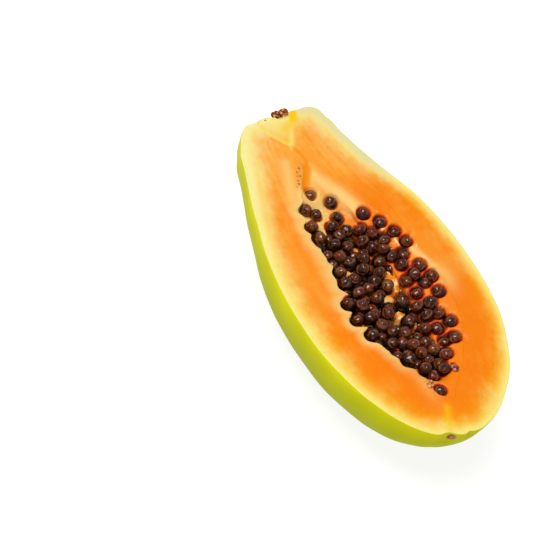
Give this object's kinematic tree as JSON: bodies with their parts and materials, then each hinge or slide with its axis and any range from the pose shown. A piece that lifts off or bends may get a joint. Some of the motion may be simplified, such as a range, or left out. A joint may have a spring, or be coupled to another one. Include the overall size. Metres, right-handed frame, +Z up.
{
  "type": "halved papaya fruit",
  "caption": "Ripe papaya cut in half lengthwise, lying on its green rind with the orange flesh and the seed-filled cavity facing up.",
  "frame": {"origin": "middle of the fruit's outline, on the surface that it lies on", "axes": "+X along the fruit from the stem end to the blossom end, +Y across the cut towards the cavity's wide side, +Z up out of the cut face"},
  "size_m": [0.1614, 0.0858, 0.0434],
  "materials": {
    "flesh": "moist satin flesh with a smooth waxy green rind",
    "seed": "wet gloss",
    "woody": "dry and rough"
  },
  "bodies": {
    "root": {"papaya_half": "flesh", "seeds": "seed", "stem_stub": "woody"}
  },
  "joints": []
}
